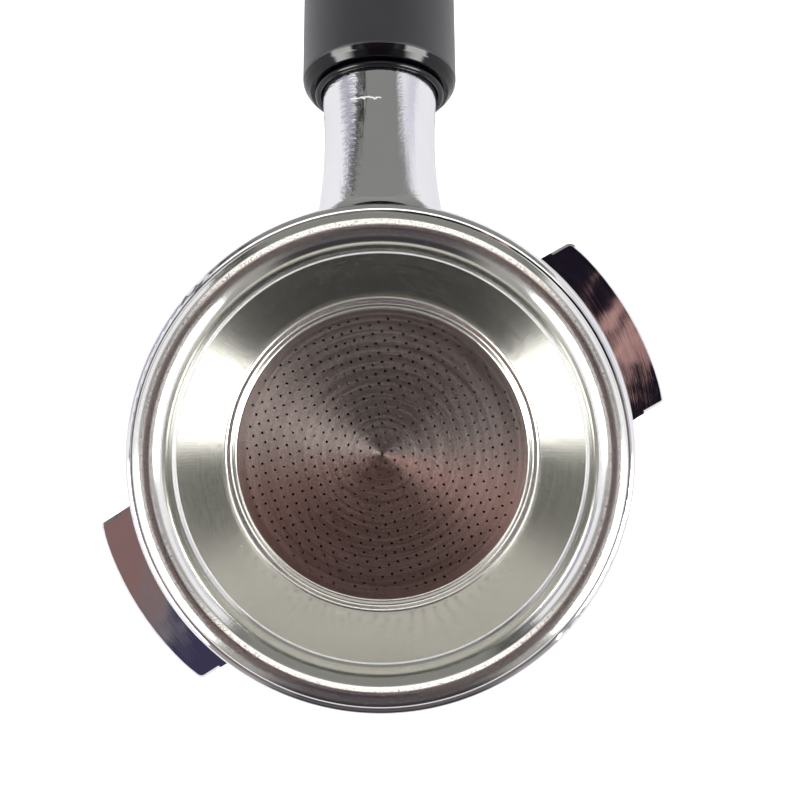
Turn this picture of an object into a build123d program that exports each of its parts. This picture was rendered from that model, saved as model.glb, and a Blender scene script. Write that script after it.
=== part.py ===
from build123d import *
import math
import os

# An espresso portafilter with a 58 mm class filter basket and a two-outlet spout.
# Millimetres. The origin is the centre of the basket's rim, on the plane that meets the group gasket.
# +Z is up and +Y points along the handle.

# ---- Driving dimensions -------------------------------------------------------------------------
RUNNING = 0.05  # radial gap between a part and the bore or thread that holds it
MESH_GAP = 0.02  # gap left between two faces that rest on each other inside the handle

# Filter basket, pressed from stainless sheet
SHEET = 0.8
FLOOR_SHEET = 0.6
RIM_R = 34.5
RIM_HEIGHT = 2.5  # from the gasket plane down to the lip that rests on the body
TAMPER_R = 29.65  # the straight part of the basket's mouth
BEAD_R = 30.2  # inside of the ridge that the spring holds
WALL_FOOT_R = 24.05
FLOOR_Z = -24.5
PERFORATED_R = 21.4
HOLE_R = 0.18
HOLE_PITCH = 1.5
HOLE_GRID_ANGLE = 18.2

# Body casting
RING_R = 35.7
FLANK_R = 37.2  # the body is widest at the lugs
RING_TOP_Z = -RIM_HEIGHT
BORE_R = 31.4
BORE_FLOOR_Z = -28.0
OUTLET_R = 4.5
BOSS_R = 12.6
BOSS_FOOT_Z = -43.0
THREAD_R = 8.33  # 3/8 inch pipe thread, drawn plain at its major radius
THREAD_ROOF_Z = -34.5
LUG_R = 42.1
LUG_WIDTH = 27.1
LUG_ANGLES = (29.4, 211.8)
LUG_STEP_R = 38.8  # a lathe's finishing cut leaves the top of the lug a hair lower outside this radius
LUG_STEP = 0.12
LUG_TOP_Z = -12.0
LUG_THICKNESS = 6.4
LUG_TOP_SLOPE = 3.2
LUG_FOOT_SLOPE = 2.2
LUG_ROOT_FILLET = 3.0

# Basket spring, a wavy ring of wire in a groove near the top of the bore
WIRE_R = 0.62
SPRING_Z = -4.72
GROOVE_R = 32.7
GROOVE_HALF_HEIGHT = 0.85
SPRING_MEAN_R = 31.55
SPRING_WAVE = 0.42
SPRING_LOBES = 4
SPRING_GAP_DEG = 24.0

# Handle: every part of it is turned about one axis, and stations are distances along that axis
HANDLE_SLOPE = 19.5
HANDLE_AXIS_Z = -5.8  # where the handle's axis crosses the basket's axis
NECK_ROOT_S = 33.5  # inside the ring's wall
NECK_WAIST_R = 8.42
NECK_WAIST_S = 50.0
NECK_END_R = 8.9
NECK_SHOULDER_S = 60.0
TENON_R = 6.5
TENON_END_S = 78.0
TENON_FLAT = 5.4  # from the axis to each of the two flats that stop the grip turning
TENON_FLAT_S = 67.5
SEAL_WIRE_R = 0.5
SEAL_S = 58.75
FERRULE_NOSE_S = SEAL_S + SEAL_WIRE_R + 2 * MESH_GAP
EDGE_S = 60.8  # where the ferrule meets the grip
SKIRT_LENGTH = 5.0  # the part of the ferrule that is hidden inside the grip
SKIRT_R = 9.4
GRIP_R = 11.85
GRIP_EDGE_ROUND = 0.3
GRIP_SWELL = 2.4
GRIP_TAIL_S = 183.0
BOLT_R = 4.0
BOLT_TIP_S = 51.0
BOLT_SEAT_S = 160.0
BOLT_HEAD_R = 6.5
BOLT_HEAD_LENGTH = 8.0
BOLT_SOCKET_R = 3.46
BOLT_SOCKET_DEPTH = 4.5
HEAD_WELL_R = 8.6
FLAT_WASHER = 1.6
FLAT_WASHER_R = 8.0
SPRING_WASHER = 2.1
SPRING_WASHER_R = 6.4
SPRING_WASHER_CUT = 1.1
CUT_SLOPE = 24
PLUG_LENGTH = 7.0

# Double spout
SPOUT_COLLAR_R = 12.0
SPOUT_THREAD_LENGTH = 7.0
GASKET_THICKNESS = 1.5
OUTLET_SPREAD = 19.0  # each outlet's distance from the centre line
SPOUT_FOOT_Z = -77.0
INLET_R = 5.5
CHANNEL_R = 4.0
LEG_R = 6.2
LEG_BEVEL = 2.2  # the outer side of each outlet is cut back by this much
LEG_BEVEL_SLOPE = 24

HANDLE = Location((0, 0, HANDLE_AXIS_Z), (-(90 + HANDLE_SLOPE), 0, 0))


# ---- Helpers ------------------------------------------------------------------------------------
def turned(outline):
    """A solid turned about Z from (radius, height) or (radius, height, corner radius) points."""
    face = make_face(Polyline(*[point[:2] for point in outline], close=True))
    for point in outline:
        if len(point) == 3:
            corner = face.vertices().sort_by_distance((point[0], point[1], 0))[0]
            face = fillet(corner, point[2])
    return revolve(Plane.XZ * face, Axis.Z)


def on_handle(shape):
    """Carries a shape built along Z to the sloping handle axis."""
    return HANDLE * shape


# ---- Filter basket ------------------------------------------------------------------------------
def hole_centres():
    """Points of a square grid, turned a little, inside the perforated circle."""
    reach = math.ceil(PERFORATED_R / HOLE_PITCH)
    turn = math.radians(HOLE_GRID_ANGLE)
    for i in range(-reach, reach + 1):
        for j in range(-reach, reach + 1):
            if math.hypot(i, j) * HOLE_PITCH <= PERFORATED_R:
                x = HOLE_PITCH * (i * math.cos(turn) - j * math.sin(turn))
                y = HOLE_PITCH * (i * math.sin(turn) + j * math.cos(turn))
                yield x, y


def filter_basket():
    floor_join_r = PERFORATED_R + 0.6
    floor_foot_z = FLOOR_Z - FLOOR_SHEET
    step_r = WALL_FOOT_R - 1.35
    ledge_z = FLOOR_Z + 1.35
    shell = turned([
        (floor_join_r, FLOOR_Z),
        (step_r, FLOOR_Z, 0.35),
        (step_r + 0.35, ledge_z, 0.4),
        (WALL_FOOT_R, ledge_z + 0.15, 0.45),
        (TAMPER_R - 0.2, -8.3, 0.5),
        (BEAD_R, -7.6, 0.5),
        (BEAD_R, -6.3, 0.4),
        (TAMPER_R, -5.7, 0.15),
        (TAMPER_R, -3.2),
        (TAMPER_R + 0.8, -1.5, 0.6),
        (TAMPER_R + 1.5, 0, 1.5),
        (RIM_R, 0, 1.5),
        (RIM_R, -RIM_HEIGHT, 0.2),
        (RIM_R - SHEET, -RIM_HEIGHT, 0.2),
        (RIM_R - SHEET, -SHEET, 0.7),
        (TAMPER_R + 1.9, -SHEET, 0.7),
        (TAMPER_R + 1.6, -1.9, 0.6),
        (TAMPER_R + SHEET, -3.4),
        (TAMPER_R + SHEET, -5.6, 0.2),
        (BEAD_R + SHEET, -6.0, 0.4),
        (BEAD_R + SHEET, -7.9, 0.6),
        (TAMPER_R + 0.62, -8.7, 0.6),
        (WALL_FOOT_R + 0.85, ledge_z - 0.1, 0.6),
        (step_r + 0.95, ledge_z - 0.9, 0.3),
        (step_r + 0.6, floor_foot_z, 0.5),
        (floor_join_r, floor_foot_z),
    ])
    holes = [Wire.make_circle(HOLE_R).moved(Location((x, y, 0))) for x, y in hole_centres()]
    plate = Face(Wire.make_circle(floor_join_r), holes)
    floor = extrude(Pos(0, 0, floor_foot_z) * plate, FLOOR_SHEET, (0, 0, 1))
    return shell + floor


# ---- Body casting -------------------------------------------------------------------------------
def lug():
    """One bayonet lug on +X, with its top and its foot on slightly sloping planes."""
    root = Circle(RING_R + 0.2)
    reach = Pos(LUG_R / 2, 0) * Rectangle(LUG_R * 1.2, LUG_WIDTH) & Circle(LUG_R)
    plan = root + reach
    for side in (-1, 1):
        root_point = (math.sqrt(RING_R**2 - (LUG_WIDTH / 2) ** 2), side * LUG_WIDTH / 2, 0)
        plan = fillet(plan.vertices().sort_by_distance(root_point)[0], LUG_ROOT_FILLET)
    for side, corner_radius in ((-1, 0.6), (1, 1.2)):
        tip_point = (math.sqrt(LUG_R**2 - (LUG_WIDTH / 2) ** 2), side * LUG_WIDTH / 2, 0)
        plan = fillet(plan.vertices().sort_by_distance(tip_point)[0], corner_radius)
    plan = plan & Pos(LUG_R, 0) * Rectangle(30, 2 * LUG_R)
    block = Pos(0, 0, LUG_TOP_Z - 2 * LUG_THICKNESS) * extrude(plan, 3 * LUG_THICKNESS)
    top_place = Location((LUG_R, 0, LUG_TOP_Z), (-LUG_TOP_SLOPE, 0, 0))
    top = top_place * Pos(0, 0, 20) * Box(80, 80, 40)
    step = top_place * Pos(0, 0, 20 - LUG_STEP) * Box(80, 80, 40) - Cylinder(LUG_STEP_R, 200)
    foot_place = Location((LUG_R, 0, LUG_TOP_Z - LUG_THICKNESS), (LUG_FOOT_SLOPE, 0, 0))
    foot = foot_place * Pos(0, 0, -20) * Box(80, 80, 40)
    piece = block - top - foot - step
    rim_edges = [
        edge for edge in piece.edges()
        if edge.center().X > LUG_R - 1 and edge.length > 10
    ]
    return chamfer(rim_edges, 0.4)


def neck():
    """The chromed neck and the tenon that the grip fits over, built along Z."""
    root = Bezier((13.0, NECK_ROOT_S), (10.7, 33.9), (9.75, 36.2), (9.35, 38.6))
    waist = ThreePointArc(root @ 1, (NECK_WAIST_R, NECK_WAIST_S), (NECK_END_R, SEAL_S))
    rest = Polyline(
        waist @ 1, (NECK_END_R, NECK_SHOULDER_S), (TENON_R, NECK_SHOULDER_S),
        (TENON_R, TENON_END_S), (0, TENON_END_S), (0, NECK_ROOT_S), root @ 0,
    )
    solid = revolve(Plane.XZ * make_face(Curve() + [root, waist, rest]), Axis.Z)
    flats_length = TENON_END_S - TENON_FLAT_S
    solid -= Pos(0, 0, TENON_FLAT_S + flats_length / 2) * flats_waste(TENON_FLAT, flats_length)
    return on_handle(solid)


def flats_waste(half_width, length):
    """Two blocks, one on each side, that leave flats at half_width from the axis."""
    block = Box(10, 4 * TENON_R, length)
    return Pos(half_width + 5, 0, 0) * block + Pos(-half_width - 5, 0, 0) * block


def body_casting():
    shell = turned([
        (0, RING_TOP_Z),
        (RING_R, RING_TOP_Z, 0.9),
        (FLANK_R, LUG_TOP_Z, 4),
        (FLANK_R, LUG_TOP_Z - LUG_THICKNESS - 1, 6),
        (FLANK_R - 3.5, -29.0, 4),
        (BOSS_R + 2.6, -36.2, 5),
        (BOSS_R, -38.6, 1.5),
        (BOSS_R, BOSS_FOOT_Z, 0.7),
        (0, BOSS_FOOT_Z),
    ])
    cavity = turned([
        (0, RING_TOP_Z),
        (BORE_R + 0.6, RING_TOP_Z),
        (BORE_R, RING_TOP_Z - 0.6),
        (BORE_R, SPRING_Z + GROOVE_HALF_HEIGHT),
        (GROOVE_R, SPRING_Z + GROOVE_HALF_HEIGHT, 0.3),
        (GROOVE_R, SPRING_Z - GROOVE_HALF_HEIGHT, 0.3),
        (BORE_R, SPRING_Z - GROOVE_HALF_HEIGHT),
        (BORE_R, BORE_FLOOR_Z, 3.0),
        (OUTLET_R, BORE_FLOOR_Z - 4.0, 1.5),
        (OUTLET_R, THREAD_ROOF_Z),
        (THREAD_R + RUNNING, THREAD_ROOF_Z),
        (THREAD_R + RUNNING, BOSS_FOOT_Z + 0.5),
        (THREAD_R + 0.6, BOSS_FOOT_Z),
        (0, BOSS_FOOT_Z),
    ])
    bolt_hole = on_handle(Pos(0, 0, BOLT_TIP_S - 3) * extrude(Circle(BOLT_R + RUNNING), 60))
    solid = shell + neck()
    for angle in LUG_ANGLES:
        solid += Rot(0, 0, angle) * lug()
    return solid - cavity - bolt_hole


def basket_spring():
    """An open ring of spring wire whose inward waves reach over the basket's ridge."""
    start = math.radians(90 + SPRING_GAP_DEG / 2)
    turn = math.radians(360 - SPRING_GAP_DEG)
    steps = 12 * SPRING_LOBES
    points = []
    for k in range(steps + 1):
        angle = start + turn * k / steps
        radius = SPRING_MEAN_R - SPRING_WAVE * math.cos(SPRING_LOBES * turn * k / steps)
        points.append((radius * math.cos(angle), radius * math.sin(angle), SPRING_Z))
    path = Spline(*points)
    section = Plane(origin=path @ 0, z_dir=path % 0) * Circle(WIRE_R)
    return sweep(section, path=path)


# ---- Handle -------------------------------------------------------------------------------------
def handle_seal_ring():
    """A soft ring that closes the gap between the neck and the ferrule."""
    return on_handle(Pos(0, 0, SEAL_S) * Torus(NECK_END_R + SEAL_WIRE_R + RUNNING, SEAL_WIRE_R))


def handle_ferrule():
    edge_r = GRIP_R - 0.06
    return on_handle(turned([
        (NECK_END_R + RUNNING, FERRULE_NOSE_S),
        (edge_r - 1.12, FERRULE_NOSE_S, 0.25),
        (edge_r - 0.34, EDGE_S - 0.65, 0.8),
        (edge_r, EDGE_S),
        (SKIRT_R, EDGE_S),
        (SKIRT_R, EDGE_S + SKIRT_LENGTH, 0.4),
        (TENON_R + RUNNING, EDGE_S + SKIRT_LENGTH),
        (TENON_R + RUNNING, NECK_SHOULDER_S + RUNNING),
        (NECK_END_R + RUNNING, NECK_SHOULDER_S + RUNNING),
    ]))


def handle_grip():
    """The moulded grip: straight at the front, swelling towards the palm, hollow for the bolt."""
    front_s = EDGE_S + MESH_GAP
    face = Line((0, front_s), (GRIP_R - GRIP_EDGE_ROUND, front_s))
    shoulder = Spline(face @ 1, (GRIP_R, front_s + 2 * GRIP_EDGE_ROUND), tangents=((1, 0.1), (0, 1)))
    barrel = Line(shoulder @ 1, (GRIP_R, EDGE_S + 24))
    swell = Spline(
        barrel @ 1, (GRIP_R + 0.4 * GRIP_SWELL, 112.0), (GRIP_R + GRIP_SWELL, 152.0),
        (GRIP_R + 0.5 * GRIP_SWELL, GRIP_TAIL_S - 6), (GRIP_R - 0.6, GRIP_TAIL_S),
        tangents=((0, 1), (-0.55, 1)),
    )
    tail = Polyline(swell @ 1, (0, GRIP_TAIL_S), face @ 0)
    outline = make_face(Curve() + [face, shoulder, barrel, swell, tail])
    socket_foot_s = TENON_END_S + 0.3
    skirt_well_s = EDGE_S + SKIRT_LENGTH + 2 * MESH_GAP
    bores = turned([
        (0, front_s),
        (SKIRT_R + RUNNING, front_s),
        (SKIRT_R + RUNNING, skirt_well_s),
        (TENON_R + RUNNING, skirt_well_s),
        (TENON_R + RUNNING, TENON_FLAT_S + MESH_GAP),
        (BOLT_R + 0.3, TENON_FLAT_S + MESH_GAP),
        (BOLT_R + 0.3, BOLT_SEAT_S),
        (HEAD_WELL_R, BOLT_SEAT_S),
        (HEAD_WELL_R, GRIP_TAIL_S),
        (0, GRIP_TAIL_S),
    ])
    keyed = Circle(TENON_R + RUNNING) & Rectangle(2 * (TENON_FLAT + RUNNING), 4 * TENON_R)
    socket = Pos(0, 0, TENON_FLAT_S) * extrude(keyed, socket_foot_s - TENON_FLAT_S)
    return on_handle(revolve(Plane.XZ * outline, Axis.Z) - bores - socket)


def handle_bolt():
    head_s = BOLT_SEAT_S + FLAT_WASHER + SPRING_WASHER
    shank = turned([
        (0, BOLT_TIP_S),
        (BOLT_R - 0.7, BOLT_TIP_S),
        (BOLT_R, BOLT_TIP_S + 0.7),
        (BOLT_R, head_s),
        (BOLT_HEAD_R, head_s),
        (BOLT_HEAD_R, head_s + BOLT_HEAD_LENGTH, 0.6),
        (0, head_s + BOLT_HEAD_LENGTH),
    ])
    socket = extrude(RegularPolygon(BOLT_SOCKET_R, 6), BOLT_SOCKET_DEPTH)
    return on_handle(shank - Pos(0, 0, head_s + BOLT_HEAD_LENGTH - BOLT_SOCKET_DEPTH) * socket)


def bolt_flat_washer():
    ring = Circle(FLAT_WASHER_R) - Circle(BOLT_R + 0.25)
    return on_handle(Pos(0, 0, BOLT_SEAT_S) * extrude(ring, FLAT_WASHER))


def bolt_spring_washer():
    """A ring of square section, cut through so that it can flatten."""
    ring = Circle(SPRING_WASHER_R) - Circle(BOLT_R + 0.2)
    washer = extrude(ring, SPRING_WASHER)
    cut = Rot(CUT_SLOPE, 0, 0) * Box(3 * SPRING_WASHER_R, SPRING_WASHER_CUT, 6 * SPRING_WASHER)
    washer -= Pos(1.5 * SPRING_WASHER_R + 1.4, 0, SPRING_WASHER / 2) * cut
    return on_handle(Pos(0, 0, BOLT_SEAT_S + FLAT_WASHER) * washer)


def handle_end_cap():
    plug_s = GRIP_TAIL_S - PLUG_LENGTH
    return on_handle(turned([
        (0, plug_s + 1.6),
        (HEAD_WELL_R - 1.8, plug_s + 1.6),
        (HEAD_WELL_R - 1.8, plug_s),
        (HEAD_WELL_R - RUNNING, plug_s, 0.4),
        (HEAD_WELL_R - RUNNING, GRIP_TAIL_S + MESH_GAP),
        (GRIP_R - 0.75, GRIP_TAIL_S + MESH_GAP, 0.2),
        (GRIP_R - 2.2, GRIP_TAIL_S + 2.6, 2.6),
        (0, GRIP_TAIL_S + 3.9),
    ]))


# ---- Spout --------------------------------------------------------------------------------------
def spout_gasket():
    ring = Circle(SPOUT_COLLAR_R - 0.3) - Circle(THREAD_R + 0.5)
    thickness = GASKET_THICKNESS - 2 * MESH_GAP
    return Pos(0, 0, BOSS_FOOT_Z - MESH_GAP - thickness) * extrude(ring, thickness)


def leg_path(side, hub_z):
    """The centre line of one leg: out of the hub, over, and straight down to the outlet."""
    return Spline(
        (0, 0, hub_z), (side * OUTLET_SPREAD * 0.6, 0, hub_z - 6.5),
        (side * OUTLET_SPREAD, 0, hub_z - 17.5), (side * OUTLET_SPREAD, 0, SPOUT_FOOT_Z),
        tangents=((side, 0, -0.12), (0, 0, -1)),
    )


def double_spout():
    collar_z = BOSS_FOOT_Z - GASKET_THICKNESS
    hub_z = collar_z - 8.5
    hub = turned([
        (0, collar_z + GASKET_THICKNESS + SPOUT_THREAD_LENGTH),
        (THREAD_R, collar_z + GASKET_THICKNESS + SPOUT_THREAD_LENGTH, 0.7),
        (THREAD_R, collar_z),
        (SPOUT_COLLAR_R, collar_z, 0.5),
        (SPOUT_COLLAR_R, collar_z - 4.0, 1.2),
        (LEG_R + 1.9, hub_z + 1.5, 2.0),
        (LEG_R + 0.8, hub_z - 3.6, 3.0),
        (0, hub_z - 6.3),
    ])
    solid = hub
    hollow = Pos(0, 0, hub_z) * extrude(Circle(INLET_R), 40)
    for side in (-1, 1):
        path = leg_path(side, hub_z)
        start = Plane(origin=path @ 0, z_dir=path % 0)
        solid += sweep(start * Circle(LEG_R), path=path)
        hollow += sweep(start * Circle(CHANNEL_R), path=path)
    solid -= hollow
    for side in (-1, 1):
        outer_x = side * (OUTLET_SPREAD + LEG_R)
        outer_edge = Location((outer_x, 0, SPOUT_FOOT_Z), (0, side * LEG_BEVEL_SLOPE, 0))
        waste = outer_edge * Pos(0, 0, LEG_BEVEL - 10) * Box(60, 40, 20)
        own_side = Pos(side * 40, 0, 0) * Box(60, 60, 400)
        solid -= waste & own_side
    return solid


# ---- Output -------------------------------------------------------------------------------------
PARTS = {
    "body_casting": body_casting,
    "filter_basket": filter_basket,
    "basket_spring": basket_spring,
    "spout_gasket": spout_gasket,
    "double_spout": double_spout,
    "handle_seal_ring": handle_seal_ring,
    "handle_ferrule": handle_ferrule,
    "handle_grip": handle_grip,
    "handle_bolt": handle_bolt,
    "bolt_flat_washer": bolt_flat_washer,
    "bolt_spring_washer": bolt_spring_washer,
    "handle_end_cap": handle_end_cap,
}

os.makedirs("parts", exist_ok=True)
for name, build in PARTS.items():
    export_step(build(), f"parts/{name}.step")
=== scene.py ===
import math

import bmesh
import bpy
from mathutils import Matrix, Vector, geometry

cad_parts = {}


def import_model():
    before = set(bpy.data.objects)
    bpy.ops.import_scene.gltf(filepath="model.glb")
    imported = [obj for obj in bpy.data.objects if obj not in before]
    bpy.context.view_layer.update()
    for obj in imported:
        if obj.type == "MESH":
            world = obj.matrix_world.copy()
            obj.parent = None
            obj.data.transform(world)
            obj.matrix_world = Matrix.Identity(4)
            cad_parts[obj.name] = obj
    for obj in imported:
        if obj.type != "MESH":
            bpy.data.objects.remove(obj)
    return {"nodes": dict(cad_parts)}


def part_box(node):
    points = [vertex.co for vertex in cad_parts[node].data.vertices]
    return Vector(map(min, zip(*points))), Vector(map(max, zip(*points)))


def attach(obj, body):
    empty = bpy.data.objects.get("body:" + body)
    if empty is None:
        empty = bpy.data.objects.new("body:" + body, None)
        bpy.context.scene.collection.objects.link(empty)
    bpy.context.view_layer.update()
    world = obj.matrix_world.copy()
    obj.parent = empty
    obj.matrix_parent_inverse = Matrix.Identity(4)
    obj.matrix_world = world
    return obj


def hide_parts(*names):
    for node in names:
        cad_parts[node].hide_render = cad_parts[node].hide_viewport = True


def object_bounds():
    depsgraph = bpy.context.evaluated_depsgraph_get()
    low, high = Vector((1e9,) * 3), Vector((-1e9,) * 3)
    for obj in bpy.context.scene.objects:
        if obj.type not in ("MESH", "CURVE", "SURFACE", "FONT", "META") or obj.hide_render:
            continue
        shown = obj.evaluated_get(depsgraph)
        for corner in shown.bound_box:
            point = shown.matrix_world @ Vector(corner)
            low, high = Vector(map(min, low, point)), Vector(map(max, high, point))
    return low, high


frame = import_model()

cad_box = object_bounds()
MM = 0.001

# ---- Sizes, in millimetres, in the frame of the CAD ---------------------------------------------
# The origin is in the plane of the rim, on the basket's axis. +Z is up and the handle points to +Y.
RIM_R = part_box("filter_basket")[1].x / MM
RIM_HEIGHT = 2.5
CREST_R = RIM_R - 2.1
MOUTH_R = 29.65
SHEET = 0.8
LEDGE_R = 30.2
BEAD_EDGE = (MOUTH_R - 0.15, -8.22)  # radius and height of the edge under the ledge, where a white highlight is painted

FLOOR_FOOT_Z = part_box("filter_basket")[0].z / MM
FLOOR_SHEET = 0.6
FLOOR_Z = FLOOR_FOOT_Z + FLOOR_SHEET
STEP_R = 22.7
STEP_TOP_Z = FLOOR_Z + 1.35
FLAT_FLOOR_R = STEP_R - 0.5  # inside this radius the floor is a flat plate
WALL_FOOT_R = 24.05

PERFORATED_R = 21.4
HOLE_R = 0.18
HOLE_PITCH = 1.5
HOLE_GRID_ANGLE = math.radians(18.2)
# The rounded upper edge of a hole: radius and height over the floor, ending in the straight bore.
HOLE_EDGE = ((0.26, 0.0), (0.235, -0.02), (0.205, -0.06), (HOLE_R, -0.12))
HOLE_SIDES = 12

BASKET_SEGMENTS = 360
LONGEST_INSIDE = 0.8  # longest straight stretch of the profiles
LONGEST_UNDER = 1.5

NECK_FROM_Y = 36.5
KNOCK = (-1.95, 53.2)  # x and y of a small knock across the top of the neck, painted white as a glint


# ---- Mesh helpers -------------------------------------------------------------------------------
def add_object(name, mesh, body, *replaced):
    piece = bpy.data.objects.new(name, mesh)
    bpy.context.scene.collection.objects.link(piece)
    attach(piece, body)
    if replaced:
        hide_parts(*replaced)
    return piece


def corner_arc(before, corner, after, radius, turn_step=math.radians(9)):
    """Points of the arc that rounds a corner of an outline."""
    a = (Vector(before) - Vector(corner)).normalized()
    b = (Vector(after) - Vector(corner)).normalized()
    half = a.angle(b) / 2
    reach = min(radius / math.tan(half), 0.49 * (Vector(before) - Vector(corner)).length,
                0.49 * (Vector(after) - Vector(corner)).length)
    radius = reach * math.tan(half)
    centre = Vector(corner) + (a + b).normalized() * radius / math.sin(half)
    start = Vector(corner) + a * reach - centre
    end = Vector(corner) + b * reach - centre
    turn = start.angle(end)
    steps = max(2, math.ceil(turn / turn_step))
    for k in range(steps + 1):
        t = k / steps
        share = (math.sin((1 - t) * turn), math.sin(t * turn))
        yield centre + (start * share[0] + end * share[1]) / math.sin(turn)


def rounded(outline):
    """Turns (radius, height[, corner radius]) points into a fine list of points with round corners."""
    points = []
    for k, point in enumerate(outline):
        if len(point) < 3:
            points.append(Vector(point))
        else:
            points.extend(corner_arc(outline[k - 1][:2], point[:2], outline[k + 1][:2], point[2]))
    return points


def split_long(points, longest):
    """Adds points on long straight stretches, so that shading stays true next to tight arcs."""
    out = [points[0]]
    for a, b in zip(points, points[1:]):
        steps = max(1, math.ceil((b - a).length / longest))
        out.extend(a.lerp(b, k / steps) for k in range(1, steps + 1))
    return out


def smooth_curve(points, steps):
    """A Catmull-Rom curve through points."""
    ends = [points[0] * 2 - points[1]] + points + [points[-1] * 2 - points[-2]]
    out = []
    for p0, p1, p2, p3 in zip(ends, ends[1:], ends[2:], ends[3:]):
        for k in range(steps):
            t = k / steps
            out.append(0.5 * (2 * p1 + (p2 - p0) * t + (2 * p0 - 5 * p1 + 4 * p2 - p3) * t * t
                              + (3 * p1 - 3 * p2 + p3 - p0) * t * t * t))
    out.append(points[-1])
    return out


def circle_points(centre, radius, count):
    angles = (math.tau * k / count for k in range(count))
    return [centre + radius * Vector((math.cos(a), math.sin(a))) for a in angles]


def join_loops(bm, first, second):
    """Fills the band between two closed loops of the same number of points."""
    count = len(first)
    for k in range(count):
        n = (k + 1) % count
        bm.faces.new((first[k], first[n], second[n], second[k]))


def lathe_into(bm, points, segments):
    """Adds the surface that a chain of (radius, height) points makes when turned about Z."""
    rings = [
        [bm.verts.new((*spot, height)) for spot in circle_points(Vector((0, 0)), radius, segments)]
        for radius, height in points
    ]
    for low, high in zip(rings, rings[1:]):
        join_loops(bm, low, high)
    return rings


def mesh_from(bm, name):
    """Finishes a bmesh drawn in millimetres: outward normals, smooth shading but for tagged faces."""
    bmesh.ops.recalc_face_normals(bm, faces=bm.faces)
    bm.transform(Matrix.Scale(MM, 4))
    for face in bm.faces:
        face.smooth = not face.tag
    mesh = bpy.data.meshes.new(name)
    bm.to_mesh(mesh)
    bm.free()
    return mesh


# ---- Node helpers -------------------------------------------------------------------------------
class Nodes:
    """A short way to write node trees: every call returns the socket of a new node's result."""

    def __init__(self, tree):
        self.tree = tree

    def add(self, kind, **settings):
        node = self.tree.nodes.new(kind)
        for name, value in settings.items():
            setattr(node, name, value)
        return node

    def put(self, socket, value):
        if isinstance(value, bpy.types.NodeSocket):
            self.tree.links.new(value, socket)
        elif value is not None:
            socket.default_value = value

    def math(self, operation, *values):
        node = self.add("ShaderNodeMath", operation=operation)
        for socket, value in zip(node.inputs, values):
            self.put(socket, value)
        return node.outputs[0]

    def chain(self, operation, values):
        result = values[0]
        for value in values[1:]:
            result = self.math(operation, result, value)
        return result

    def plus(self, *values):
        return self.chain("ADD", values)

    def times(self, *values):
        return self.chain("MULTIPLY", values)

    def minus(self, value, taken):
        return self.math("SUBTRACT", value, taken)

    def size_of(self, value):
        return self.math("ABSOLUTE", value)

    def vector(self, operation, *values):
        node = self.add("ShaderNodeVectorMath", operation=operation)
        for socket, value in zip(node.inputs, values):
            self.put(socket, value)
        return node.outputs["Value"] if operation == "LENGTH" else node.outputs[0]

    def scaled(self, vector, scale):
        result = self.vector("SCALE", vector)
        self.put(result.node.inputs["Scale"], scale)
        return result

    def split(self, vector):
        node = self.add("ShaderNodeSeparateXYZ")
        self.put(node.inputs[0], vector)
        return node.outputs

    def join(self, x, y, z=0.0):
        node = self.add("ShaderNodeCombineXYZ")
        for socket, value in zip(node.inputs, (x, y, z)):
            self.put(socket, value)
        return node.outputs[0]

    def ramp(self, value, low, high, out_low=0.0, out_high=1.0):
        """A smooth step of value from low to high."""
        node = self.add("ShaderNodeMapRange", interpolation_type="SMOOTHSTEP")
        for socket, item in zip(node.inputs, (value, low, high, out_low, out_high)):
            self.put(socket, item)
        return node.outputs[0]

    def mix(self, factor, a, b):
        """A colour between a and b."""
        node = self.add("ShaderNodeMix", data_type="RGBA")
        for socket, value in ((node.inputs[0], factor), (node.inputs[6], a), (node.inputs[7], b)):
            if isinstance(value, tuple):
                value = (*value, 1)
            self.put(socket, value)
        return node.outputs[2]

    def mix_value(self, factor, a, b):
        """A number between a and b."""
        node = self.add("ShaderNodeMix", data_type="FLOAT")
        for socket, value in zip(node.inputs, (factor, None, a, b)):
            self.put(socket, value)
        return node.outputs[0]

    def noise(self, vector, scale, detail=3.0, roughness=0.55):
        node = self.add("ShaderNodeTexNoise")
        self.put(node.inputs["Vector"], vector)
        node.inputs["Scale"].default_value = scale
        node.inputs["Detail"].default_value = detail
        node.inputs["Roughness"].default_value = roughness
        return node.outputs["Fac"]

    def bump(self, height, distance, strength, normal=None):
        node = self.add("ShaderNodeBump")
        node.inputs["Strength"].default_value = strength
        node.inputs["Distance"].default_value = distance
        self.put(node.inputs["Height"], height)
        self.put(node.inputs["Normal"], normal)
        return node.outputs[0]


def new_material(name):
    """A material with its Nodes, its main shader and the object's own coordinates in millimetres."""
    material = bpy.data.materials.new(name)
    material.use_nodes = True
    n = Nodes(material.node_tree)
    shader = material.node_tree.nodes["Principled BSDF"]
    where = n.scaled(n.add("ShaderNodeTexCoord").outputs["Object"], 1 / MM)
    return material, n, shader, where


def polar(n, where):
    """Radius, height and a pair of unit circle coordinates of a point, about the basket's axis."""
    x, y, z = n.split(where)
    radius = n.vector("LENGTH", n.join(x, y))
    safe = n.math("MAXIMUM", radius, 0.01)
    return radius, z, n.math("DIVIDE", x, safe), n.math("DIVIDE", y, safe)


def round_grain(n, where, along, across, detail=4.0):
    """Noise drawn out round the basket's axis, as a lathe or a polishing wheel leaves it."""
    radius, z, cosine, sine = polar(n, where)
    height = n.times(n.plus(radius, z), across)
    return n.noise(n.join(n.times(cosine, along), n.times(sine, along), height), 1.0, detail)


def centred(n, noise, strength):
    """Turns a noise of about 0 to 1 into one that swings about 0."""
    return n.times(n.minus(noise, 0.5), strength)


# ---- Chrome -------------------------------------------------------------------------------------
CHROME_TINTS = ((0.72, 0.72, 0.74), (0.80, 0.80, 0.82))
KNOCK_GLINT_WHITE = (1.0, 1.0, 1.0)


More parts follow.
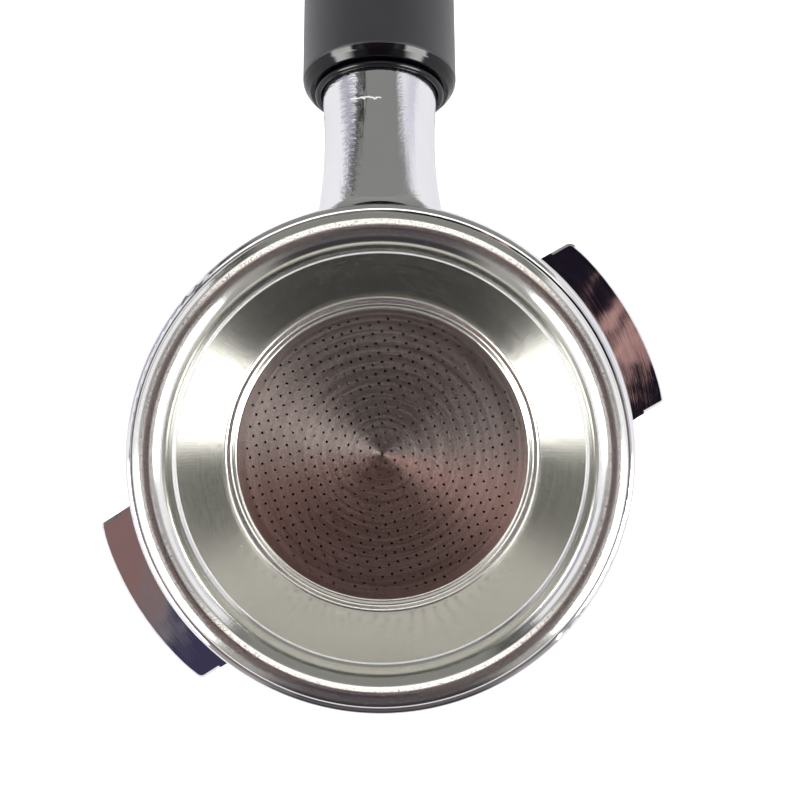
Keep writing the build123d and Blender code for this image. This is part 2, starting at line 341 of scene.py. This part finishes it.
def neck_grain(n, x, y):
    """The cast grain on both sides of the neck, coarser on its left and none along its top."""
    on_neck = n.ramp(y, NECK_FROM_Y, NECK_FROM_Y + 1.5)
    beside_top = n.ramp(n.size_of(n.plus(x, 0.5)), 2.0, 3.4)
    coarse = n.noise(n.join(n.times(x, 0.6), n.times(y, 1.3)), 1.0, 3.0, 0.5)
    fine = n.noise(n.join(x, n.times(y, 1.2)), 3.0, 3.0, 0.6)
    coarse_share = n.ramp(x, 0.5, -0.5, 0.4, 1.9)
    grain = n.plus(n.times(coarse, coarse_share), n.times(fine, 0.6))
    return n.times(grain, beside_top, on_neck)


def knock_glint_mark(n, where):
    """1 on the small wandering knock across the top of the neck, where a white glint is painted."""
    x, y, z = n.split(where)
    wander = centred(n, n.noise(where, 0.9, 2.0), 1.1)
    off_line = n.size_of(n.plus(n.minus(y, KNOCK[1]), wander))
    along_line = n.size_of(n.minus(x, KNOCK[0]))
    on_top = n.ramp(z, -22.0, -18.0)
    return n.times(n.ramp(off_line, 0.22, 0.08), n.ramp(along_line, 2.5, 2.1), on_top)


def chrome():
    """Chrome plate: a mirror with soft ripples from the casting, a fine grain, a few scratches and a
    knock with a painted white glint.
    """
    material, n, shader, where = new_material("chrome_plate")
    x, y, z = n.split(where)
    ripple = n.noise(where, 0.09, 2.0)
    scratch = round_grain(n, where, along=3.0, across=9.0)
    knock = knock_glint_mark(n, where)
    # painted highlight: the knock is plain white and not metallic, so it shows as a glint
    n.put(shader.inputs["Base Color"], n.mix(knock, n.mix(ripple, *CHROME_TINTS), KNOCK_GLINT_WHITE))
    n.put(shader.inputs["Metallic"], n.minus(1.0, knock))
    rough = n.ramp(scratch, 0.35, 0.8, 0.02, 0.07)
    n.put(shader.inputs["Roughness"], n.plus(rough, n.times(knock, 0.4)))
    soft = n.bump(ripple, distance=0.0003, strength=0.35)
    height = n.plus(n.times(neck_grain(n, x, y), 6.0), n.times(scratch, 0.3))
    n.put(shader.inputs["Normal"], n.bump(height, distance=0.00002, strength=0.45, normal=soft))
    return material


# ---- Basket steel -------------------------------------------------------------------------------
WALL_TINTS = ((0.70, 0.70, 0.68), (0.80, 0.79, 0.77))
FLOOR_GREY = (0.98, 0.90, 0.87)
# painted reflection: the floor turns towards this red on the side away from the handle
FLOOR_RED_REFLECTION = (1.0, 0.72, 0.66)
FLOOR_IN_MIRROR = (0.62, 0.61, 0.59)  # what the polished wall shows of the floor
# painted reflection on the rim's crest
CREST_BROWN_REFLECTION = (0.42, 0.35, 0.33)
WORN_BROWN = (0.20, 0.17, 0.16)
# painted shade inside the holes
HOLE_SHADE_BLACK = (0.01, 0.009, 0.008)
# painted highlight on the edge under the ledge
EDGE_HIGHLIGHT_WHITE = (1.0, 1.0, 0.98)


def painted_wedge_highlight(n, cosine, sine, azimuth, sharpness, strength):
    """A pair of painted highlight wedges that meet in the centre, standing in for the reflection that
    a face turned on a lathe shows.
    """
    c, s = math.cos(math.radians(azimuth)), math.sin(math.radians(azimuth))
    along = n.plus(n.times(cosine, c), n.times(sine, s))
    return n.times(n.math("POWER", n.size_of(along), sharpness), strength)


def rubbed_streaks(n, where):
    """Noise drawn out along the rows of holes, where the floor was rubbed after punching."""
    x, y, z = n.split(where)
    c, s = math.cos(HOLE_GRID_ANGLE), math.sin(HOLE_GRID_ANGLE)
    along = n.plus(n.times(x, -s), n.times(y, c))
    sideways = n.plus(n.times(x, c), n.times(y, s))
    return n.noise(n.join(n.times(sideways, 1.6), n.times(along, 0.09)), 1.0, 4.0, 0.6)


def floor_colour(n, where, cosine, sine, rings):
    """Warm turned steel with two pairs of painted highlight wedges and a painted reflection that makes
    it redder on the side away from the handle.
    """
    # painted highlight: bright wedges put into the floor's colour
    wedges = n.plus(painted_wedge_highlight(n, cosine, sine, 160, 12, 0.55),
                    painted_wedge_highlight(n, cosine, sine, 10, 8, 0.22))
    marks = n.plus(centred(n, rings, 0.16), centred(n, rubbed_streaks(n, where), 0.14))
    shade = n.plus(marks, wedges, 0.27)
    # painted reflection: redder on the side away from the handle
    painted_reflection_tone = n.mix(n.ramp(sine, 0.25, -0.45), FLOOR_GREY, FLOOR_RED_REFLECTION)
    seen = n.add("ShaderNodeLightPath").outputs["Is Camera Ray"]
    return n.mix(seen, FLOOR_IN_MIRROR, n.scaled(painted_reflection_tone, shade))


def basket_steel():
    """Pressed stainless steel: satin wall, worn rim with a painted brown reflection on its crest, a
    painted highlight on the edge under the ledge, painted shade in the holes, and a turned, warm-toned
    floor with painted highlight wedges and a painted red reflection.
    """
    material, n, shader, where = new_material("basket_steel")
    radius, z, cosine, sine = polar(n, where)
    rings = round_grain(n, where, along=0.6, across=2.2, detail=5.0)

    # Where each part of the basket is
    in_step = n.ramp(radius, STEP_R - 0.1, FLAT_FLOOR_R)
    on_floor = n.times(in_step, n.ramp(z, FLOOR_Z + 1.0, FLOOR_Z + 0.5))
    # painted shade: the bores of the holes are coloured black below the floor's surface
    painted_shade_in_hole = n.times(n.ramp(z, FLOOR_Z - 0.035, FLOOR_Z - 0.07), n.ramp(radius, STEP_R, STEP_R - 0.3))
    on_rim = n.ramp(z, -1.6, -0.9)
    on_crest = n.times(n.ramp(radius, CREST_R - 1.2, CREST_R - 0.5),
                       n.ramp(radius, CREST_R + 1.4, CREST_R + 0.7))
    from_bead = n.join(n.minus(radius, BEAD_EDGE[0]), n.minus(z, BEAD_EDGE[1]))
    # painted highlight: a thin white, mostly non-metallic line on the edge under the ledge
    painted_edge_highlight = n.ramp(n.vector("LENGTH", from_bead), 0.26, 0.12)
    speck = n.ramp(n.noise(where, 3.6, 6.0, 0.8), 0.47, 0.62)
    wear = n.times(on_rim, speck, on_crest)

    # Colour
    colour = n.mix(n.noise(where, 0.12, 4.0, 0.6), *WALL_TINTS)
    colour = n.mix(on_floor, colour, floor_colour(n, where, cosine, sine, rings))
    # painted reflection: a brown tint over the crest stands in for the dim ceiling round the camera
    # that it mirrors
    colour = n.mix(n.times(on_crest, on_rim, 0.3), colour, CREST_BROWN_REFLECTION)
    colour = n.mix(n.times(wear, 0.75), colour, WORN_BROWN)
    # painted shade in the holes
    colour = n.mix(painted_shade_in_hole, colour, HOLE_SHADE_BLACK)
    # painted highlight on the edge under the ledge
    colour = n.mix(painted_edge_highlight, colour, EDGE_HIGHLIGHT_WHITE)
    n.put(shader.inputs["Base Color"], colour)
    # less metallic on the painted edge highlight, so that it shows white
    n.put(shader.inputs["Metallic"], n.minus(1.0, n.times(painted_edge_highlight, 0.8)))

    # Polish: satin on the wall, turned on the floor, brighter on the rim, dull where it's worn
    grain = round_grain(n, where, along=2.5, across=4.0)
    fine_grain = round_grain(n, where, along=9.0, across=14.0)
    wall_rough = n.ramp(grain, 0.3, 0.75, 0.17, 0.24)
    floor_rough = n.ramp(rings, 0.3, 0.7, 0.17, 0.24)
    rough = n.times(n.mix_value(on_floor, wall_rough, floor_rough), n.ramp(on_rim, 0.0, 1.0, 1.0, 0.5))
    n.put(shader.inputs["Roughness"], n.plus(rough, n.times(wear, 0.14)))
    n.put(shader.inputs["Anisotropic"], n.times(on_floor, 0.6))
    shader.inputs["Anisotropic Rotation"].default_value = 0.25
    tangent = n.add("ShaderNodeTangent", direction_type="RADIAL", axis="Z")
    n.put(shader.inputs["Tangent"], tangent.outputs[0])

    # Relief
    grain_share = n.ramp(on_rim, 0.0, 1.0, 0.5, 0.12)
    height = n.plus(n.times(grain, grain_share), n.times(fine_grain, 0.12))
    height = n.minus(height, n.times(wear, 0.15))
    n.put(shader.inputs["Normal"], n.bump(height, distance=0.00002, strength=0.5))
    return material


# ---- Plain metals and plastics ------------------------------------------------------------------
def plain_metal(name, dark, light, rough):
    """Bright metal with a faint cloud in its tint and polish, and a fine grain."""
    material, n, shader, where = new_material(name)
    cloud = n.noise(where, 0.7, 4.0)
    fine = n.noise(where, 9.0, 4.0)
    n.put(shader.inputs["Base Color"], n.mix(cloud, dark, light))
    shader.inputs["Metallic"].default_value = 1.0
    n.put(shader.inputs["Roughness"], n.ramp(cloud, 0.3, 0.7, rough - 0.06, rough + 0.08))
    n.put(shader.inputs["Normal"], n.bump(fine, distance=0.00002, strength=0.4))
    return material


def plastic(name, dark, light, rough, grain, depth, sheen=0.0, index=1.5):
    """Moulded plastic, rubber or fibre with a fine grain of its own; depth is in millimetres."""
    material, n, shader, where = new_material(name)
    cloud = n.noise(where, 0.15, 3.0)
    fine = n.noise(where, grain, 3.0, 0.6)
    n.put(shader.inputs["Base Color"], n.mix(cloud, dark, light))
    n.put(shader.inputs["Roughness"], n.ramp(cloud, 0.25, 0.75, rough - 0.04, rough + 0.05))
    n.put(shader.inputs["Normal"], n.bump(fine, distance=depth * MM, strength=0.5))
    shader.inputs["IOR"].default_value = index
    shader.inputs["Sheen Weight"].default_value = sheen
    shader.inputs["Sheen Roughness"].default_value = 0.45
    return material


# ---- Basket -------------------------------------------------------------------------------------
def rim_outline():
    """The outer lip, the worn crest and the slope into the mouth, from outside to inside."""
    lip = [Vector(p) for p in (
        (RIM_R, -RIM_HEIGHT + 0.1), (RIM_R, -1.6), (RIM_R - 0.02, -1.1), (RIM_R - 0.10, -0.68),
        (RIM_R - 0.30, -0.44), (RIM_R - 0.6, -0.28), (RIM_R - 0.9, -0.165), (RIM_R - 1.2, -0.088),
        (RIM_R - 1.5, -0.037), (CREST_R + 0.3, -0.007), (CREST_R, 0.0), (CREST_R - 0.3, -0.045),
        (CREST_R - 0.6, -0.128), (CREST_R - 0.9, -0.233), (CREST_R - 1.2, -0.364),
        (CREST_R - 1.5, -0.53), (CREST_R - 1.8, -0.75), (CREST_R - 2.1, -1.06), (CREST_R - 2.4, -1.52),
        (CREST_R - 2.6, -2.1), (MOUTH_R + 0.04, -2.8), (MOUTH_R, -3.4),
    )]
    return smooth_curve(lip, steps=4)


def wall_outline():
    """The inside below the rim: mouth, ledge, tapered wall and step, down to the flat floor."""
    return rounded([
        (MOUTH_R, -3.5),
        (MOUTH_R, -5.7, 0.15),
        (LEDGE_R, -6.3, 0.4),
        (LEDGE_R, -7.6, 0.5),
        (MOUTH_R - 0.2, -8.3, 0.28),
        (WALL_FOOT_R, STEP_TOP_Z + 0.15, 0.45),
        (STEP_R + 0.35, STEP_TOP_Z, 0.4),
        (STEP_R, FLOOR_Z, 0.35),
        (FLAT_FLOOR_R, FLOOR_Z),
    ])


def under_outline():
    """The outside of the sheet, from the floor's foot up to the rolled rim."""
    return rounded([
        (FLAT_FLOOR_R, FLOOR_FOOT_Z),
        (STEP_R + 0.6, FLOOR_FOOT_Z, 0.5),
        (STEP_R + 0.95, STEP_TOP_Z - 0.9, 0.3),
        (WALL_FOOT_R + 0.85, STEP_TOP_Z - 0.1, 0.6),
        (MOUTH_R + 0.62, -8.7, 0.6),
        (LEDGE_R + SHEET, -7.9, 0.6),
        (LEDGE_R + SHEET, -6.0, 0.4),
        (MOUTH_R + SHEET, -5.6, 0.2),
        (MOUTH_R + SHEET, -3.4),
        (MOUTH_R + 1.6, -1.9, 0.6),
        (MOUTH_R + 1.9, -SHEET, 0.7),
        (RIM_R - SHEET, -SHEET, 0.7),
        (RIM_R - SHEET, -RIM_HEIGHT, 0.2),
        (RIM_R, -RIM_HEIGHT, 0.2),
        (RIM_R, -RIM_HEIGHT + 0.3),
    ])


def hole_centres():
    reach = math.ceil(PERFORATED_R / HOLE_PITCH)
    turn = Matrix.Rotation(HOLE_GRID_ANGLE, 2)
    for i in range(-reach, reach + 1):
        for j in range(-reach, reach + 1):
            if math.hypot(i, j) * HOLE_PITCH <= PERFORATED_R:
                yield turn @ Vector((i * HOLE_PITCH, j * HOLE_PITCH))


def pierced_plate(bm, ring, z, steps, centres):
    """One side of the floor: a flat plate inside the ring, with a stepped hole at each centre.

    Gives back the last loop of points of each hole."""
    outer = [vert.co.xy.copy() for vert in ring]
    points = list(outer)
    outlines = [list(range(len(outer)))]
    for centre in centres:
        outlines.append(list(range(len(points), len(points) + HOLE_SIDES)))
        points.extend(circle_points(centre, steps[0][0], HOLE_SIDES))
    edges = [(loop[k], loop[(k + 1) % len(loop)]) for loop in outlines for k in range(len(loop))]
    out, _, triangles, _, _, sources = geometry.delaunay_2d_cdt(points, edges, outlines, 0, 1e-7)
    verts = list(ring) + [bm.verts.new((*p, z)) for p in out[len(outer):]]
    for triangle, source in zip(triangles, sources):
        if source == [0]:
            bm.faces.new([verts[k] for k in triangle]).tag = True
    last_loops = []
    for number, centre in enumerate(centres):
        start = len(outer) + number * HOLE_SIDES
        loop = verts[start:start + HOLE_SIDES]
        for radius, drop in steps[1:]:
            below = [bm.verts.new((*p, z + drop)) for p in circle_points(centre, radius, HOLE_SIDES)]
            join_loops(bm, loop, below)
            loop = below
        last_loops.append(loop)
    return last_loops


def floor_plate(bm, upper_ring, lower_ring):
    """The perforated floor between the two rings of the wall, each hole with a rounded upper edge."""
    centres = list(hole_centres())
    tops = pierced_plate(bm, upper_ring, FLOOR_Z, HOLE_EDGE, centres)
    feet = pierced_plate(bm, lower_ring, FLOOR_FOOT_Z, ((HOLE_R, 0.0),), centres)
    for top, foot in zip(tops, feet):
        join_loops(bm, top, foot)


def basket(material):
    """The whole pressed basket as one shell with real holes. It stands in for the CAD's basket."""
    bm = bmesh.new()
    inside = split_long(rim_outline() + wall_outline(), LONGEST_INSIDE)
    under = split_long(under_outline(), LONGEST_UNDER)
    inside_rings = lathe_into(bm, inside, BASKET_SEGMENTS)
    under_rings = lathe_into(bm, under, BASKET_SEGMENTS)
    join_loops(bm, under_rings[-1], inside_rings[0])
    floor_plate(bm, inside_rings[-1], under_rings[0])
    piece = add_object("basket_shell", mesh_from(bm, "basket_shell"), "basket", "filter_basket")
    piece.data.materials.append(material)
    return piece


# ---- World: the room that the polished metal reflects -------------------------------------------
# Directions round the object are in degrees from +X, and tilts in degrees away from straight up.
HANDLE_SIDE = 90
FAR_SIDE = 270
ALL_ROUND = 180  # half width of a window that goes all the way round
SOFT_DAYLIGHT = (0.9, 0.9, 0.92)
WHITE = (1.0, 1.0, 1.0)
LAMP = (15.0, 15.0, 14.4)
HIGH_STRIP = (2.2, 2.15, 2.05)


def sector_maker(n, direction):
    """Gives back sector(), which draws windows of the room for this set of nodes."""
    x, y, z = n.split(direction)
    tilt = n.times(n.math("ARCCOSINE", z), math.degrees(1))
    across = n.math("MAXIMUM", n.vector("LENGTH", n.join(x, y)), 0.001)
    uneven = centred(n, n.noise(direction, 30.0, 2.5, 0.6), 1.0)

    def sector(azimuth, half_width, nearest, farthest, soft=4.0, side_soft=4.0, ragged=0.0):
        """1 inside a window: azimuth and half width, and tilt from nearest to farthest.

        soft and side_soft blur its edges, and ragged tears its two sides by about so many degrees."""
        inner = n.ramp(tilt, nearest - soft, nearest + soft)
        outer = n.ramp(tilt, farthest + soft, farthest - soft)
        inside = n.times(inner, outer)
        if half_width == ALL_ROUND:
            return inside
        c, s = math.cos(math.radians(azimuth)), math.sin(math.radians(azimuth))
        facing = n.math("DIVIDE", n.plus(n.times(x, c), n.times(y, s)), across)
        if ragged:
            reach = 2 * math.radians(ragged) * math.sin(math.radians(half_width))
            facing = n.plus(facing, n.times(uneven, reach))
        low = math.cos(math.radians(half_width + side_soft))
        high = math.cos(math.radians(half_width - side_soft))
        return n.times(inside, n.ramp(facing, low, high))

    return sector


def room(n, base, windows):
    """The base light, covered by each window in turn."""
    colour = base
    for window, light in windows:
        colour = n.mix(window, colour, light)
    return colour


def first_room(n, sector):
    """What the metal shows of the room directly."""
    return room(n, (1.08, 1.08, 1.12), (
        # lavender silhouettes of the neck, left and right
        (sector(150, 22, 68, 95, 3.0, 3.0), (0.55, 0.53, 0.61)),
        (sector(28, 12, 68, 95, 3.0, 4.0), (0.80, 0.79, 0.87)),
        # grey belt all round
        (sector(0, ALL_ROUND, 27, 43, 4.0), (0.48, 0.47, 0.46)),
        # the strip along the top of the neck, with torn dark edges
        (sector(HANDLE_SIDE, 43, 32, 95, 4.0, 1.0, 20.0), (0.285, 0.29, 0.27)),
        (sector(129, 6, 34, 95, 4.0, 1.0, 16.0), (0.05, 0.05, 0.045)),
        (sector(49, 3, 34, 95, 4.0, 1.0, 10.0), (0.15, 0.15, 0.14)),
        (sector(HANDLE_SIDE, 46, 17, 34, 2.5, 14.0), HIGH_STRIP),
        # the two lamps that the glossy collar shows
        (sector(206, 21, 38, 68, 3.0, 3.0), LAMP),
        (sector(335, 22, 37, 68, 3.0, 3.0), LAMP),
        # the dark side of the room, darker towards its middle and its foot
        (sector(FAR_SIDE, 46, 14, 90, 3.0, 7.0), (0.42, 0.41, 0.40)),
        (sector(FAR_SIDE, 46, 14, 32, 3.0, 7.0), (0.21, 0.19, 0.185)),
        (sector(FAR_SIDE, 24, 22, 90, 8.0, 8.0), (0.130, 0.116, 0.118)),
        (sector(FAR_SIDE, 24, 52, 90, 8.0, 8.0), (0.055, 0.050, 0.056)),
        # the dim ceiling round the camera, cut by a bright strip on the handle's side
        (sector(0, ALL_ROUND, -20, 22, 3.5), (0.22, 0.18, 0.17)),
        (sector(HANDLE_SIDE, 46, 15, 22, 1.5, 14.0), HIGH_STRIP),
        # the right lug: black with one copper band
        (sector(50, 44, 5, 15, 1.0, 4.0), (0.012, 0.009, 0.016)),
        (sector(56, 4.5, 3, 16, 1.5, 0.8, 3.0), (0.60, 0.35, 0.315)),
        # the left lug: copper at its top, grey, then blue-black at its foot
        (sector(225, 20, 9, 17, 1.5, 3.0), (0.27, 0.16, 0.15)),
        (sector(249, 4, 9, 24, 1.0, 2.0), (0.22, 0.20, 0.22)),
        (sector(263, 14, 12, 24, 1.0, 1.5, 4.0), (0.054, 0.047, 0.095)),
    ))


def later_room(n, sector):
    """What the basket's wall shows of the room after more than one reflection."""
    return room(n, (0.24, 0.24, 0.22), (
        (sector(HANDLE_SIDE, 62, 10, 88, 6.0, 10.0), (0.98, 0.96, 0.88)),
        (sector(FAR_SIDE, 42, 10, 88, 6.0, 14.0), (0.045, 0.045, 0.045)),
        (sector(202, 13, 32, 72, 4.0, 5.0), (5.5, 5.5, 5.3)),
        (sector(338, 13, 32, 72, 4.0, 5.0), (5.5, 5.5, 5.3)),
    ))


def world():
    """Pure white to the camera; to polished metal, a white room with soft panels and a dark side."""
    made = bpy.data.worlds.new("studio")
    bpy.context.scene.world = made
    made.use_nodes = True
    n = Nodes(made.node_tree)
    background = made.node_tree.nodes["Background"]
    sector = sector_maker(n, n.vector("NORMALIZE", n.add("ShaderNodeTexCoord").outputs["Generated"]))
    path = n.add("ShaderNodeLightPath")
    seen_again = n.math("GREATER_THAN", path.outputs["Glossy Depth"], 1.5)
    colour = n.mix(seen_again, first_room(n, sector), later_room(n, sector))
    colour = n.mix(path.outputs["Is Diffuse Ray"], colour, SOFT_DAYLIGHT)
    n.put(background.inputs["Color"], n.mix(path.outputs["Is Camera Ray"], colour, WHITE))
    background.inputs["Strength"].default_value = 1.0
    made.cycles.sampling_method = "NONE"


# ---- Floor --------------------------------------------------------------------------------------
SHEET_TINTS = ((0.88, 0.88, 0.89), (0.93, 0.93, 0.93))
# painted shade under the handle, seen only in reflections
SHEET_PAINTED_SHADE = (0.30, 0.305, 0.285)
SHEET_HALF_SIZE = 3.0  # metres
SHEET_GAP = 0.5 * MM
SHADE_FROM_Y = 38.0  # where the painted shade of the handle on the sheet begins
SHADE_SPREAD = 0.93  # how much it widens per millimetre


def floor():
    """A wide pale sheet that the object stands on, bright enough to lose its own shadows, with a
    painted shade under the handle that only glossy rays see.
    """
    bm = bmesh.new()
    bmesh.ops.create_grid(bm, x_segments=8, y_segments=8, size=SHEET_HALF_SIZE)
    mesh = bpy.data.meshes.new("floor")
    bm.to_mesh(mesh)
    bm.free()
    sheet = bpy.data.objects.new("floor", mesh)
    bpy.context.scene.collection.objects.link(sheet)
    sheet.location.z = cad_box[0].z - SHEET_GAP

    material, n, shader, where = new_material("pale_sheet")
    path = n.add("ShaderNodeLightPath")
    glossy = path.outputs["Is Glossy Ray"]
    x, y, z = n.split(where)
    spread = n.minus(n.times(n.minus(y, SHADE_FROM_Y), SHADE_SPREAD), n.size_of(x))
    # painted shade: a dark wedge under the handle, shown only to glossy rays
    painted_shade_under_handle = n.times(n.ramp(spread, -12.0, 12.0), glossy)
    sheet_colour = n.mix(n.noise(where, 0.02, 4.0), *SHEET_TINTS)
    n.put(shader.inputs["Base Color"], n.mix(painted_shade_under_handle, sheet_colour, SHEET_PAINTED_SHADE))
    shader.inputs["Roughness"].default_value = 0.7
    shader.inputs["Emission Color"].default_value = (*WHITE, 1.0)
    lift_for_metal = n.times(n.minus(glossy, painted_shade_under_handle), 0.25)
    lift_for_camera = n.times(path.outputs["Is Camera Ray"], 0.8)
    n.put(shader.inputs["Emission Strength"], n.plus(lift_for_camera, lift_for_metal))
    mesh.materials.append(material)


# ---- Camera -------------------------------------------------------------------------------------
CAMERA_PLACE = (2.8, 8.3, 210.0)  # millimetres
CAMERA_ROLL = math.radians(-0.45)
CAMERA_LENS = 68.4
CAMERA_SENSOR = 36.0


def camera():
    """Looks straight down on the basket from about 210 mm, as the photograph does."""
    data = bpy.data.cameras.new("camera")
    data.lens = CAMERA_LENS
    data.sensor_width = CAMERA_SENSOR
    data.clip_start = 0.01
    data.clip_end = 20.0
    made = bpy.data.objects.new("camera", data)
    bpy.context.scene.collection.objects.link(made)
    made.location = [place * MM for place in CAMERA_PLACE]
    made.rotation_euler = (0, 0, CAMERA_ROLL)
    bpy.context.scene.camera = made


# ---- Build --------------------------------------------------------------------------------------
def finishes():
    """The material of each node that comes from the CAD."""
    chrome_plate = chrome()
    wire_steel = plain_metal("wire_steel", (0.42, 0.42, 0.42), (0.6, 0.6, 0.6), rough=0.25)
    zinc = plain_metal("zinc_plate", (0.45, 0.46, 0.5), (0.66, 0.67, 0.7), rough=0.3)
    grip_plastic = plastic("grip_plastic", (0.015, 0.014, 0.017), (0.022, 0.020, 0.024),
                           rough=0.5, grain=6.0, depth=0.02, sheen=0.32)
    gloss_plastic = plastic("gloss_plastic", (0.0015, 0.001, 0.002), (0.003, 0.002, 0.004),
                            rough=0.07, grain=2.0, depth=0.004, index=1.38)
    seal_rubber = plastic("seal_rubber", (0.004, 0.004, 0.006), (0.008, 0.007, 0.010),
                          rough=0.12, grain=3.0, depth=0.006, index=1.38)
    fibre = plastic("fibre", (0.50, 0.47, 0.40), (0.66, 0.63, 0.56), rough=0.65, grain=5.0, depth=0.04)
    return {
        "body_casting": chrome_plate,
        "double_spout": chrome_plate,
        "basket_spring": wire_steel,
        "bolt_spring_washer": wire_steel,
        "handle_bolt": zinc,
        "bolt_flat_washer": zinc,
        "spout_gasket": fibre,
        "handle_seal_ring": seal_rubber,
        "handle_ferrule": gloss_plastic,
        "handle_grip": grip_plastic,
        "handle_end_cap": grip_plastic,
    }


for node, finish in finishes().items():
    materials = frame["nodes"][node].data.materials
    materials.clear()
    materials.append(finish)

basket(basket_steel())
world()
floor()
camera()
bpy.context.scene.view_settings.view_transform = "Standard"
